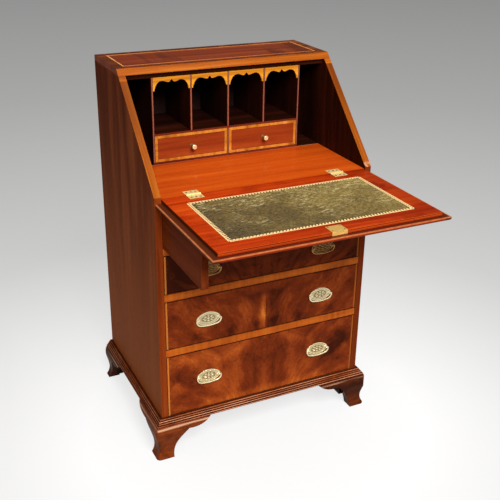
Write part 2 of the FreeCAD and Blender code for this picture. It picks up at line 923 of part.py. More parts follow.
def main():
    os.makedirs("parts", exist_ok=True)

    save("left_side", [on_side(carcass_side(), -1)])
    save("right_side", [carcass_side()])
    save("top_board", [top_board()])
    save("top_stringing", [top_stringing()])
    save("slope_bands", slope_bands())
    save("back_boards", back_boards())
    save("carcass_bottom", [box(-inner_x, inner_x, 0, back_y, foot_h, bottom_floor)])
    save("lower_rail", [front_rail(lower_rail_z)])
    save("upper_rail", [front_rail(upper_rail_z)])
    save("loper_rail", [front_rail(loper_rail_z)])
    save("drawer_runners", drawer_runners())
    save("loper_partitions", both_sides(loper_partition()))
    save("writing_bed", [writing_bed()])
    save("fall_stop_rail", [fall_stop_rail()])
    save("base_moulding", base_moulding())
    for name, side in (("left", -1), ("right", 1)):
        save("front_" + name + "_foot", [on_side(piece, side) for piece in front_foot()])
        save("back_" + name + "_foot", [on_side(piece, side) for piece in back_foot()])

    save("pigeonhole_uprights", pigeonhole_uprights())
    save("pigeonhole_boards", pigeonhole_boards())
    save("pigeonhole_valances", pigeonhole_valances())

    save("bed_hinge_leaves", both_sides(hinge_leaf(1)))
    save("bed_hinge_screws", hinge_screws(1, True))
    save("hinge_pins", hinge_pins())
    save("fall_hinge_leaves", both_sides(hinge_leaf(-1)))
    save("fall_hinge_screws", hinge_screws(-1, True))
    save("fall_panel", [fall_panel()])
    save("writing_leather", [leather()])
    save("fall_lock", [fall_lock()])
    save("fall_lock_bolt", [fall_lock_bolt()])

    save("left_loper", [on_side(loper(loper_travel), -1)])
    save("right_loper", [loper(0)])

    drawers = (
        ("top", partition_x0, loper_floor, loper_opening_h, 0),
        ("second", inner_x, second_floor, second_opening_h, 0),
        ("third", inner_x, third_floor, third_opening_h, 0),
        ("bottom", inner_x, bottom_floor, bottom_opening_h, bottom_handle_rise),
    )
    for name, opening_x, floor, opening_h, handle_rise in drawers:
        handle_z = floor + opening_h / 2 + handle_rise
        save(name + "_drawer_front", [drawer_front(opening_x, floor, opening_h, handle_z)])
        save(name + "_drawer_box", drawer_box(opening_x, floor, opening_h))
        save(name + "_drawer_brasses", handle_brasses(handle_z))
        save(name + "_left_bail", [bail(-1, handle_z)])
        save(name + "_right_bail", [bail(1, handle_z)])

    for name, side in (("left", -1), ("right", 1)):
        save(name + "_small_drawer_front", [on_side(small_drawer_front(), side)])
        save(name + "_small_drawer_box", [on_side(piece, side) for piece in small_drawer_box()])
        save(name + "_small_drawer_knob", [on_side(small_drawer_knob(), side)])


main()
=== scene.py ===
# Dresses the writing bureau: polished woods, stamped brasses, tooled leather, floor, light and camera.
import bmesh
import bpy
import math
from mathutils import Matrix, Vector, noise


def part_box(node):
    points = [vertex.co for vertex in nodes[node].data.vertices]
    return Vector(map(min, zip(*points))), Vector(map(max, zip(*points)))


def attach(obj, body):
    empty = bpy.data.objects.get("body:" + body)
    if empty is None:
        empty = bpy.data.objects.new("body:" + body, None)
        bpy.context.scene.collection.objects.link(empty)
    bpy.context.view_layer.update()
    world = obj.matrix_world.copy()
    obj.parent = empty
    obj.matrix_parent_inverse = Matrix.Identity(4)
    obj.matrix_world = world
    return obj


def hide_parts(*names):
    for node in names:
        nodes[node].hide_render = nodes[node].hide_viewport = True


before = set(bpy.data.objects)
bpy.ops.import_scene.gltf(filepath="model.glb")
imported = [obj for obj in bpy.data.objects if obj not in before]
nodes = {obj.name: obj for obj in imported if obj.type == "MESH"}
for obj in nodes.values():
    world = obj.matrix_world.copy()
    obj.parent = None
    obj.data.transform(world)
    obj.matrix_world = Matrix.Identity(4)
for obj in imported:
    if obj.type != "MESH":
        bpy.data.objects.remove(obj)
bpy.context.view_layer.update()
scene = bpy.context.scene
mm = 0.001
# How deep the colour of one face goes into a piece
skin = 0.3 * mm
sides = ("left", "right")
long_drawers = ("top", "second", "third", "bottom")


def add_object(name, data):
    made = bpy.data.objects.new(name, data)
    scene.collection.objects.link(made)
    return made


# Shader and geometry trees

def operator(operation, reflected=False):
    """A method of Value that turns an operator into a maths node."""
    def apply(value, *others):
        given = (*others, value) if reflected else (value, *others)
        return value.tree.maths(operation, *given)
    return apply


class Value:
    """An output of a node, so that maths on it reads as an expression."""

    __add__ = __radd__ = operator("ADD")
    __sub__ = operator("SUBTRACT")
    __rsub__ = operator("SUBTRACT", reflected=True)
    __mul__ = __rmul__ = operator("MULTIPLY")
    __truediv__ = operator("DIVIDE")
    __pow__ = operator("POWER")
    __abs__ = operator("ABSOLUTE")
    __lt__ = operator("LESS_THAN")
    __gt__ = operator("GREATER_THAN")

    def __init__(self, tree, socket):
        self.tree = tree
        self.socket = socket

    def sibling(self, key):
        """Another output of the same node."""
        return Value(self.tree, self.socket.node.outputs[key])


class Tree:
    """A node tree that is filled one node at a time."""

    def __init__(self, tree):
        self.tree = tree
        tree.nodes.clear()

    def node(self, kind, sockets=None, out=0, **settings):
        """Adds a node: its settings first, then the values or links of its sockets."""
        made = self.tree.nodes.new(kind)
        for key, setting in settings.items():
            setattr(made, key, setting)
        for key, value in (sockets or {}).items():
            sources = value if isinstance(value, list) else [value]
            for source in sources:
                if isinstance(source, Value):
                    self.tree.links.new(source.socket, made.inputs[key])
                else:
                    made.inputs[key].default_value = source
        return Value(self, made.outputs[out]) if len(made.outputs) else None

    def maths(self, operation, *values):
        return self.node("ShaderNodeMath", dict(enumerate(values)), operation=operation)

    def join(self, x, y, z):
        return self.node("ShaderNodeCombineXYZ", {0: x, 1: y, 2: z})


class Finish(Tree):
    """A material for one of the bureau's surfaces, whose colour is laid on in steps."""

    def __init__(self, name):
        self.material = bpy.data.materials.new(name)
        self.material.use_nodes = True
        super().__init__(self.material.node_tree)
        self.place = self.node("ShaderNodeTexCoord", out=3)
        self.x = self.node("ShaderNodeSeparateXYZ", {0: self.place})
        self.y = self.x.sibling("Y")
        self.z = self.x.sibling("Z")
        self.colour = None

    def length(self, a, b):
        """Length of a step of a along one axis and b along another."""
        return (a * a + b * b) ** 0.5

    def from_ends(self, axis, low, high):
        """Distance in from the nearer end of a box along axis 0, 1 or 2."""
        place = (self.x, self.y, self.z)[axis]
        return self.maths("MINIMUM", place - low[axis], high[axis] - place)

    def inset(self, low, high, u, v):
        """Distance in from the nearest edge of a face, and 1 where that edge is at an end of axis u."""
        from_u = self.from_ends(u, low, high)
        from_v = self.from_ends(v, low, high)
        return self.maths("MINIMUM", from_u, from_v), from_u < from_v

    def noise(self, scale=1.0, detail=3.0, rough=0.5, distortion=0.0, at=None, stretch=None):
        """Clouds from 0 to 1 over the surface, or over another vector."""
        at = at or self.place
        if stretch:
            at = self.node("ShaderNodeVectorMath", {0: at, 1: stretch}, operation="MULTIPLY")
        sockets = {"Scale": scale, "Detail": detail, "Roughness": rough, "Distortion": distortion}
        return self.node("ShaderNodeTexNoise", {"Vector": at, **sockets})

    def ease(self, value, start, end):
        """Goes smoothly from 0 at start to 1 at end, whichever is larger."""
        sockets = {0: value, 1: start, 2: end, 3: 0.0, 4: 1.0}
        return self.node("ShaderNodeMapRange", sockets, interpolation_type="SMOOTHSTEP")

    def mix(self, share, a, b):
        return self.node("ShaderNodeMix", {0: share, 6: a, 7: b}, out=2, data_type="RGBA")

    def turn_by(self, share, a, b):
        """A vector that is a where share is 0 and b where it is 1."""
        return self.node("ShaderNodeMix", {0: share, 4: a, 5: b}, out=1, data_type="VECTOR")

    def ramp(self, value, places, colours):
        made = self.node("ShaderNodeValToRGB", {0: value})
        elements = made.socket.node.color_ramp.elements
        while len(elements) < len(places):
            elements.new(1.0)
        for element, place, colour in zip(elements, places, colours):
            element.position = place
            element.color = colour
        return made

    def lay(self, share, colour):
        """Lays a colour over the present one, as far as share says."""
        self.colour = self.mix(share, self.colour, colour)

    def bump(self, height, distance, strength):
        return self.node("ShaderNodeBump", {"Strength": strength, "Distance": distance, "Height": height})

    def surface(self, **sockets):
        """Ends the material in a principled shader, with sockets named in lower case."""
        named = {"Base Color": self.colour}
        for key, item in sockets.items():
            named[key.replace("_", " ").title().replace("Ior", "IOR")] = item
        return self.close(self.node("ShaderNodeBsdfPrincipled", named))

    def close(self, shader):
        self.node("ShaderNodeOutputMaterial", {"Surface": shader})
        return self.material


class Pattern(Tree):
    """A geometry tree for a shape that repeats, with named sizes."""

    kinds = {float: "NodeSocketFloat", int: "NodeSocketInt", tuple: "NodeSocketVector"}

    def __init__(self, name, **sizes):
        self.group = bpy.data.node_groups.new(name, "GeometryNodeTree")
        super().__init__(self.group)
        self.group.interface.new_socket("Geometry", in_out="OUTPUT", socket_type="NodeSocketGeometry")
        for label, size in sizes.items():
            self.group.interface.new_socket(label, in_out="INPUT", socket_type=self.kinds[type(size)])
        self.sizes = sizes
        source = self.group.nodes.new("NodeGroupInput")
        self.given = {label: Value(self, source.outputs[label]) for label in sizes}

    def moved(self, shape, **sockets):
        return self.node("GeometryNodeTransform", {"Geometry": shape, **sockets})

    def repeat(self, shape, points, turn=(0, 0, 0)):
        sockets = {"Points": points, "Instance": shape, "Rotation": turn}
        return self.node("GeometryNodeInstanceOnPoints", sockets)

    def grow(self, name, shape, material):
        """Ends the tree in real faces with a material and keeps the result as a plain mesh."""
        real = self.node("GeometryNodeRealizeInstances", {0: shape})
        dressed = self.node("GeometryNodeSetMaterial", {"Geometry": real, "Material": material})
        self.node("NodeGroupOutput", {0: dressed})
        holder = add_object(name, bpy.data.meshes.new(name))
        maker = holder.modifiers.new("pattern", "NODES")
        maker.node_group = self.group
        for item in self.group.interface.items_tree:
            if item.in_out == "INPUT":
                maker[item.identifier] = self.sizes[item.name]
        graph = bpy.context.evaluated_depsgraph_get()
        mesh = bpy.data.meshes.new_from_object(holder.evaluated_get(graph), depsgraph=graph)
        bpy.data.objects.remove(holder)
        return mesh


# Colours

def srgb(*levels):
    """A colour as it looks on a screen, from 0 to 255, in the shader's own units."""
    shares = [level / 255 for level in levels]
    linear = [x / 12.92 if x <= 0.04045 else ((x + 0.055) / 1.055) ** 2.4 for x in shares]
    return (*linear, 1.0)


class Tones:
    """The darkest, middle and lightest colour of a wood or hide."""

    def __init__(self, *colours):
        self.all = [srgb(*colour) for colour in colours]
        self.deep, self.middle, self.pale = self.all


side_tones = Tones((56, 19, 6), (90, 33, 10), (150, 80, 38))
edge_tones = Tones((96, 36, 12), (140, 58, 20), (170, 84, 34))
loper_tones = Tones((54, 18, 6), (96, 36, 12), (128, 56, 22))
rail_tones = Tones((132, 52, 12), (202, 98, 24), (226, 134, 46))
bed_tones = Tones((154, 49, 8), (188, 71, 12), (206, 93, 22))
fall_tones = Tones((116, 25, 5), (180, 55, 10), (204, 86, 22))
lip_tones = Tones((104, 28, 7), (156, 50, 15), (190, 80, 30))
# Near-black tones, laid as painted shade inside, under and between parts
deep_shade_tones = Tones((16, 5, 3), (36, 11, 7), (58, 20, 12))
shade_tones = Tones((22, 7, 3), (46, 17, 7), (78, 33, 15))
upright_tones = Tones((78, 25, 17), (110, 40, 25), (140, 60, 40))
top_tones = Tones((76, 17, 6), (124, 42, 17), (162, 70, 31))
flame_tones = Tones((62, 20, 8), (123, 47, 15), (172, 78, 26))
small_tones = Tones((112, 38, 14), (150, 58, 22), (178, 80, 34))
foot_tones = Tones((74, 28, 10), (138, 61, 22), (186, 94, 38))
# Darker tones of the foot wood, for the feet that stand in painted shade
shaded_foot_tones = Tones((38, 14, 6), (78, 32, 13), (116, 54, 25))
band_tones = Tones((94, 38, 8), (158, 79, 19), (202, 120, 37))
satin_tones = Tones((182, 108, 24), (236, 162, 46), (252, 196, 88))
border_tones = Tones((146, 76, 18), (204, 124, 38), (230, 160, 74))
string_tones = Tones((150, 74, 24), (190, 106, 36), (214, 136, 60))
top_line_tones = Tones((190, 104, 44), (232, 150, 78), (250, 186, 118))
oak_tones = Tones((96, 62, 32), (138, 96, 54), (172, 128, 80))
pine_tones = Tones((92, 56, 30), (132, 86, 48), (164, 114, 68))
hide_tones = Tones((46, 37, 16), (94, 77, 36), (144, 123, 60))
shellac_glint = srgb(255, 196, 150)
# Pale colour for painted highlights on crests and edges, where it also stands for wear
wear_and_highlight_wood = srgb(240, 182, 142)
# Painted highlight along the top edge of the fall's lip
lip_highlight = srgb(222, 132, 78)
rubbed_hide = srgb(226, 210, 152)
# Brown of tarnish in the hollows of brass, also laid as painted shade on the knobs
tarnish_and_shade_brown = srgb(76, 48, 16)
nail_iron = srgb(44, 38, 34)
nail_rust = srgb(58, 30, 14)


# Woods

class Wood(Finish):
    """A finish with grain. The pores of the first grain in it show in its surface."""

    def __init__(self, name, *grain, **figure):
        super().__init__(name)
        self.pores = None
        if grain:
            self.colour = self.grained(*grain, **figure)

    def along(self, axis):
        """Object coordinates turned so that the grain runs along their first axis."""
        x, y, z = self.x, self.y, self.z
        return self.join(*{"X": (x, y, z), "Y": (y, x, z), "Z": (z, x, y)}[axis])

    def show_pores(self, pores):
        eased = self.ease(pores, 0.56, 0.7)
        self.pores = self.pores or eased
        return eased

    def grained(self, grain, tones, coarse=1.0, pore_share=0.4):
        """Bands, streaks and pores along a named axis, or along the first axis of a vector."""
        if isinstance(grain, str):
            grain = self.along(grain)
        sway = self.noise(at=grain, stretch=(1.6, 4.0, 4.0), detail=2.0) * 0.035
        aside = self.join(0.0, sway, sway)
        bent = self.node("ShaderNodeVectorMath", {0: grain, 1: aside}, operation="ADD")
        bands = self.noise(at=bent, stretch=(0.7, 13.0 / coarse, 13.0 / coarse))
        streaks = self.noise(at=bent, stretch=(2.2, 62.0 / coarse, 62.0 / coarse), detail=6.0, rough=0.62)
        pores = self.show_pores(self.noise(at=bent, stretch=(70.0, 900.0, 900.0), detail=2.0))
        tone = bands * 0.5 + streaks * 0.5
        colour = self.ramp(tone, (0.34, 0.5, 0.67), tones.all)
        return self.mix(pores * pore_share, colour, tones.deep)

    def flame(self, up, seed, depth, spots=()):
        """Book-matched flame veneer: plumes fanning from the seam at x = 0, broken by soft dark clouds.

        A spot is x, height, half width, half height and gain. It stays on its side of the seam.
        """
        root_drop = 0.16
        across = abs(self.x)
        rise = up + root_drop
        spread = self.maths("ARCTAN2", across, rise)
        reach = self.length(across, rise)
        flat = self.join(across, up, seed)
        warp = self.noise(at=flat, scale=11.0, detail=4.0, rough=0.55) - 0.5
        feather = self.join(spread * 9.0 + warp * 2.6, reach * 6.0 + warp * 1.2, seed)
        plumes = self.noise(at=feather, scale=1.6)
        clouds = self.noise(at=flat, scale=11.0, detail=4.0, rough=0.55, distortion=0.7)
        ripple = self.noise(at=feather, stretch=(2.6, 9.0, 1.0), scale=1.6, detail=4.0, rough=0.6)
        fibre = self.noise(at=feather, stretch=(22.0, 1.4, 1.0), scale=1.5, detail=4.0, rough=0.65)
        tone = plumes * 0.24 + clouds * 0.5 + ripple * 0.14 + fibre * 0.12
        for x, height, half_w, half_h, gain in spots:
            off_spot = self.length((self.x - x) / half_w, (up - height) / half_h)
            spot = self.ease(off_spot, 1.0, 0.1)
            if x:
                spot = spot * (self.x * math.copysign(1.0, x) > 0.0)
            tone = tone + spot * (gain * (0.4 + fibre * 1.2))
        colours = [*flame_tones.all, rail_tones.pale]
        colour = self.ramp(tone - depth, (0.35, 0.49, 0.63, 0.78), colours)
        pores = self.show_pores(self.noise(at=flat, stretch=(520.0, 150.0, 1.0), detail=2.0))
        return self.mix(pores * 0.3, colour, flame_tones.deep)

    def patches(self, scale, start, end, detail=4.0, rough=0.6):
        """1 in cloudy patches and 0 between them."""
        return self.ease(self.noise(scale, detail, rough), start, end)

    def worn_edges(self, low, high):
        """1 along the edges of a box, in patches where hands have rubbed it, and 0 elsewhere."""
        reach = 4.5 * mm
        gaps = []
        for place, start, end in zip((self.x, self.y, self.z), low, high):
            gaps.append(self.maths("MINIMUM", abs(place - start), abs(end - place)))
        a, b, c = gaps
        nearer = self.maths("MINIMUM", a, b)
        farther = self.maths("MAXIMUM", a, b)
        second = self.maths("MAXIMUM", nearer, self.maths("MINIMUM", farther, c))
        rubbed = self.noise(scale=34.0)
        return self.ease(second / reach - rubbed * 1.6, 0.0, -1.0)

    def polish(self, rough=0.3, coat=0.1, gloss=0.14):
        """French polish: a warm gloss, a little dulled in patches, with the pores just showing."""
        dull = self.noise(scale=9.0, detail=4.0, rough=0.6)
        smear = self.noise(stretch=(40.0, 40.0, 9.0))
        wave = self.noise(scale=16.0, detail=2.0) * 0.5
        return self.surface(
            roughness=rough - 0.08 + dull * 0.14 + smear * 0.06 + self.pores * 0.12,
            coat_weight=coat * (1.3 - dull * 0.6),
            coat_roughness=0.07,
            specular_ior_level=gloss,
            specular_tint=shellac_glint,
            normal=self.bump(wave - self.pores * 0.25, 0.4 * mm, 0.35),
        )


def plain_mahogany(name, axis, tones, coat, gloss, box=None):
    """Straight-grained mahogany along one axis, rubbed lighter at the edges of its box."""
    wood = Wood(name, axis, tones)
    if box:
        wood.lay(wood.worn_edges(*box) * 0.45, tones.pale)
    return wood.polish(coat=coat, gloss=gloss)


def crossbanded_rail(name, low, high, patch_and_shadow_share):
    """A drawer rail: short golden grain standing across it, darker in patches and deeper still as a painted
    shadow on the rails under the fall, with painted shade of the gaps along its edges.
    """
    wood = Wood(name, "Z", rail_tones, coarse=0.6)
    wood.lay(0.6, wood.grained("X", rail_tones))
    # Dark patches, deeper on the rails under the fall as a painted shadow of the fall
    wood.lay(wood.patches(9.0, 0.38, 0.62) * patch_and_shadow_share, edge_tones.deep)
    # A dark line along the top and bottom edges: painted shade of the gaps beside the drawers, broken up by
    # noise
    edge_line = wood.ease(wood.from_ends(2, low, high), 2.4 * mm, 0.9 * mm)
    grime_and_gap_shade = wood.noise(scale=70.0)
    wood.lay(edge_line * (0.1 + grime_and_gap_shade), shade_tones.middle)
    return wood.polish()


def two_way_mahogany(name, low, high, tones, crests, crest_rise, crest_w):
    """Mahogany mitred at the front corners, with a painted highlight along its crests, and painted shade on
    its side faces, in its grooves and behind.
    """
    wood = Wood(name)
    past_side = abs(wood.x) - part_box("right_side")[1].x
    past_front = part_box("lower_rail")[0].y - wood.y
    on_side = past_side > past_front
    grain = wood.turn_by(on_side, wood.along("X"), wood.along("Y"))
    wood.colour = wood.grained(grain, tones)
    wood.lay(wood.patches(26.0, 0.46, 0.66, rough=0.65) * 0.65, tones.deep)
    # Painted shade: the side faces are darker than the front
    wood.lay(on_side * 0.35, tones.deep)
    pitch = (high.z - low.z) / crests
    in_reed = wood.maths("FRACT", (wood.z - low.z) / pitch)
    # Painted highlight along each crest, where the polish would catch the lamp, broken into patches along
    # the length
    crest = wood.ease(abs(in_reed - crest_rise) * pitch, crest_w, 0.1 * mm)
    hands = wood.noise(at=grain, stretch=(6.0, 30.0, 160.0))
    wood.lay(crest * wood.ease(hands, 0.36, 0.64) * (0.9 - on_side * 0.4), wear_and_highlight_wood)
    if crests > 1:
        # Painted shade in the grooves between the reeds
        groove = wood.ease(in_reed, 0.14, 0.0)
        wood.lay(groove * 0.75, deep_shade_tones.middle)
    # Painted shade on the faces behind the front and the sides
    behind = (past_side < -1.0 * mm) * (past_front < -1.0 * mm)
    wood.lay(behind, deep_shade_tones.middle)
    return wood.polish(rough=0.22, coat=0.2, gloss=0.1)


def side_mahogany(low, high, inner_x):
    """A carcass side: dark upright grain outside, lighter towards the bottom as a painted reflection of the
    floor, and nearly black inside as painted shade, with a redder front edge.
    """
    wood = Wood("side_mahogany", "Z", side_tones, coarse=1.7)
    # Painted reflection of the floor: the outside grows lighter towards the bottom
    towards_floor = wood.ease(wood.z, high.z, low.z)
    wood.lay(towards_floor * 0.85, side_tones.pale)
    # Painted shade: the inner face is nearly black
    wood.lay(abs(wood.x) < inner_x + skin, wood.grained("Z", shade_tones))
    edge = wood.grained("Z", edge_tones)
    # Painted shade on the right side's front edge, deeper towards the bottom
    edge = wood.mix((wood.x > 0.0) * towards_floor * 0.5, edge, edge_tones.deep)
    wood.lay(wood.y < low.y + skin, edge)
    wood.lay(wood.worn_edges(low, high) * 0.35, edge_tones.middle)
    return wood.polish(rough=0.27, coat=0.01, gloss=0.02)


def banded_top():
    """The top: a red middle crossed by painted reflection bars inside the stringing, a dark crossbanding
    outside it, and painted shade underneath.
    """
    wood = Wood("crossbanded_top", "X", top_tones)
    low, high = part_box("top_board")
    band_w = high.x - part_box("top_stringing")[1].x
    inset, at_end = wood.inset(low, high, 0, 1)
    # Painted reflection: dark bars running front to back across the red middle
    clouds = wood.noise(stretch=(13.0, 2.5, 1.0))
    wood.lay(wood.ease(clouds, 0.5, 0.62) * 0.7, top_tones.deep)
    across = wood.turn_by(at_end, wood.along("Y"), wood.along("X"))
    is_band = (inset < band_w) * (wood.z > high.z - skin)
    wood.lay(is_band, wood.grained(across, side_tones))
    # Painted shade: the underside is nearly black
    wood.lay(wood.z < low.z + skin, wood.grained("X", deep_shade_tones))
    return wood.polish(rough=0.22, coat=0.2, gloss=0.25)


def flame_front(name, low, high, seed, depth, spots):
    """A long drawer front in flame veneer, with painted shade of the gaps along its edges."""
    wood = Wood(name)
    wood.colour = wood.flame(wood.z - low.z, seed, depth, spots)
    inset, _ = wood.inset(low, high, 0, 2)
    # Painted shade of the gaps: a dark line round the edges, broken up by noise
    grime_and_gap_shade = wood.ease(inset, 2.6 * mm, 0.6 * mm)
    wood.lay(grime_and_gap_shade * (0.25 + wood.noise(scale=90.0)), deep_shade_tones.deep)
    return wood.polish(rough=0.26, coat=0.08, gloss=0.1)


def banded_front(name, low, high):
    """A small drawer front: plain mahogany inside a light crossbanded border and a thin dark line."""
    border_w = 7.5 * mm
    line_w = 0.9 * mm
    front_t = 0.5 * mm
    wood = Wood(name, "X", small_tones)
    field = wood.colour
    inset, at_end = wood.inset(low, high, 0, 2)
    across = wood.turn_by(at_end, wood.along("Z"), wood.along("X"))
    wood.lay(inset < border_w, wood.grained(across, border_tones))
    on_line = (inset > border_w) * (inset < border_w + line_w)
    wood.lay(on_line * 0.8, side_tones.deep)
    wood.lay(wood.y > low.y + front_t, field)
    return wood.polish()


def fall_mahogany():
    """The fall: a red field with darker clouds and painted shade to the right and front, inside round lips
    with painted highlights and shade, and flame veneer on the outside.
    """
    wood = Wood("fall_mahogany", "X", fall_tones)
    low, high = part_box("fall_panel")
    lock_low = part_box("fall_lock")[0]
    field_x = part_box("writing_bed")[1].x - 1.7 * mm
    clouds = wood.noise(stretch=(9.0, 16.0, 9.0), detail=4.0, rough=0.6)
    # Painted shade: darker towards the right end and towards the front
    shade_to_right = wood.ease(wood.x, 0.3 * high.x, high.x)
    shade_to_front = wood.ease(wood.y, low.y + 80.0 * mm, low.y + 20.0 * mm)
    wood.lay(wood.ease(clouds, 0.48, 0.72) * 0.6 + shade_to_right * 0.5 + shade_to_front * 0.2, fall_tones.deep)
    in_front = wood.y < lock_low.y + 0.2 * mm
    wood.lay(in_front, wood.grained("X", lip_tones))
    # Fine mouldings on the front of the field, as painted highlight and painted shade lines: depth under its
    # top and width in mm
    from_top = high.z - wood.z
    light, dark = fall_tones.pale, deep_shade_tones.middle
    for depth, width, line in ((0.6, 1.0, light), (2.4, 0.9, dark), (4.6, 1.0, light), (9.2, 1.4, dark)):
        on_line = abs(from_top - depth * mm) < width / 2 * mm
        wood.lay(on_line * in_front * 0.8, line)
    # Painted shade on the steps and lips at the two sides of the field
    wood.lay((abs(wood.x) > field_x) * (from_top > 0.8 * mm), shade_tones.pale)
    # The lip: painted shade under its round, and a painted highlight along its top edge, broken up by noise
    lip_w = 7.0 * mm
    to_end = wood.maths("MINIMUM", high.x - abs(wood.x), wood.y - low.y)
    below_lip = lock_low.z - wood.z
    wood.lay((to_end < lip_w) * wood.ease(below_lip, 1.6 * mm, 4.0 * mm) * 0.5, lip_tones.deep)
    outer = wood.ease(to_end, 5.0 * mm, 2.0 * mm)
    upper = wood.ease(below_lip, 2.8 * mm, 1.2 * mm)
    wood.lay(outer * upper * (0.15 + wood.noise(scale=60.0) * 0.7), lip_highlight)
    wood.lay(wood.z < low.z + skin, wood.flame(high.y - wood.y, seed=9.1, depth=0.0))
    return wood.polish(coat=0.06, gloss=0.1)


def bed_mahogany(back_y):
    """The writing bed: red up to the front of the pigeonholes, and bare wood beside and behind them,
    darkened as painted shade.
    """
    wood = Wood("bed_mahogany", "X", bed_tones)
    # Behind the front of the pigeonholes: bare wood, nearly black as painted shade
    wood.lay(wood.y > back_y, wood.grained("X", shade_tones))
    at_joint = abs(wood.y - back_y) < 1.2 * mm
    wood.lay(at_joint * wood.noise(scale=40.0) * 0.8, wear_and_highlight_wood)
    return wood.polish(rough=0.34)


def shaded_mahogany(name, axis, front_y, spacing=None):
    """Thin interior boards: a reddish front edge with a painted highlight along the middle of uprights, and
    faces in painted shade that darkens further in.
    """
    wood = Wood(name, axis, upright_tones)
    if spacing:
        # Painted highlight along the middle of each upright's rounded front edge
        off_middle = abs(wood.maths("WRAP", wood.x, spacing / 2, -spacing / 2))
        wood.lay(wood.ease(off_middle, 1.8 * mm, 0.4 * mm) * 0.22, wear_and_highlight_wood)
    # Painted shade on the faces, darker the deeper they lie behind the front
    depth = wood.y - front_y
    near = wood.grained(axis, shade_tones)
    far = wood.grained(axis, deep_shade_tones)
    face = wood.mix(wood.ease(depth, 0.0, 110.0 * mm), near, far)
    wood.lay(depth > 0.6 * mm, face)
    return wood.polish(rough=0.34, coat=0.05)


def satinwood(name, axis, tones):
    """Golden veneer with a fine silky grain."""
    return Wood(name, axis, tones, coarse=0.7, pore_share=0.25).polish()


def slope_banding():
    """The light bands on the slope, darker towards the top, with pale patches at the foot of the right band.
    """
    top_band_h = 26.0 * mm
    wood = Wood("slope_band_wood")
    low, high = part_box("slope_bands")
    on_sides = wood.z < high.z - top_band_h
    down_slope = wood.join((wood.y + wood.z) * 0.7, wood.x, (wood.y - wood.z) * 0.7)
    grain = wood.turn_by(on_sides, wood.along("X"), down_slope)
    wood.colour = wood.grained(grain, band_tones, coarse=0.7, pore_share=0.25)
    # Darker towards the top of the side bands, broken by clouds
    rise_darkening = wood.noise(scale=7.0) * 0.4 + (wood.z - low.z) / (high.z - low.z)
    wood.lay((0.2 + wood.ease(rise_darkening, 0.2, 0.95) * 0.55) * on_sides, band_tones.deep)
    # Pale patches at the foot of the right band: wear, and a painted highlight
    at_foot = wood.ease(wood.z, low.z + 16.0 * mm, low.z + 2.0 * mm)
    pale_foot_patches = wood.patches(120.0, 0.42, 0.62, detail=3.0, rough=0.5)
    wood.lay(at_foot * (wood.x > 0.0) * pale_foot_patches * 0.6, wear_and_highlight_wood)
    return wood.polish(coat=0.03, gloss=0.06)


def drawer_lining(name, low, high, lining_t):
    """Bare oak: grain along the sides of a drawer, and across its back and bottom."""
    wood = Wood(name)
    at_side = wood.from_ends(0, low, high) < lining_t + 0.1 * mm
    grain = wood.turn_by(at_side, wood.along("X"), wood.along("Y"))
    wood.colour = wood.grained(grain, oak_tones, coarse=0.8)
    grime_and_gap_shade = wood.noise(scale=14.0, detail=5.0, rough=0.6)
    wood.lay(wood.ease(grime_and_gap_shade, 0.48, 0.75) * 0.5, oak_tones.deep)
    return wood.surface(
        roughness=0.62 + grime_and_gap_shade * 0.2,
        normal=wood.bump(grime_and_gap_shade * 0.2 - wood.pores * 0.6, 0.3 * mm, 0.6),
    )


def nail_heads(wood, low, high):
    """Iron nails driven flush in rows over a back: 1 on their heads, and the rust run round them."""
    columns, rows = 6, 5
    margin_x, margin_z = 8.0 * mm, 12.0 * mm
    head_r, rust_r = 2.4 * mm, 8.0 * mm
    pitch_x = (high.x - low.x - 2 * margin_x) / columns
    pitch_z = (high.z - low.z - 2 * margin_z) / rows
    across = wood.maths("WRAP", wood.x, pitch_x / 2, -pitch_x / 2)
    rise = wood.maths("WRAP", wood.z - low.z - margin_z, pitch_z / 2, -pitch_z / 2)
    from_nail = wood.length(across, rise)
    return from_nail < head_r, wood.ease(from_nail, rust_r, 2.0 * mm)


def bare_softwood(name, axis, nailed_back=None):
    """Planed pine gone brown with age. A nailed back is also darkened on its inner face as painted shade."""
    wood = Wood(name, axis, pine_tones, coarse=1.6)
    stains = wood.noise(scale=6.0, detail=5.0, rough=0.65)
    wood.lay(wood.ease(stains, 0.45, 0.75) * 0.6, pine_tones.deep)
    if nailed_back:
        low, high = nailed_back
        head, rust = nail_heads(wood, low, high)
        outside = wood.y > high.y - skin
        # Painted shade: the inner face of the back is darkened
        wood.lay(wood.y < low.y + skin, deep_shade_tones.middle)
        wood.lay(rust * stains * outside, nail_rust)
        wood.lay(head * outside * 0.8, nail_iron)
    return wood.surface(
        roughness=0.7 + stains * 0.15,
        specular_ior_level=0.2,
        normal=wood.bump(stains * 0.4 - wood.pores * 0.6, 0.4 * mm, 0.6),
    )


# Metal and leather

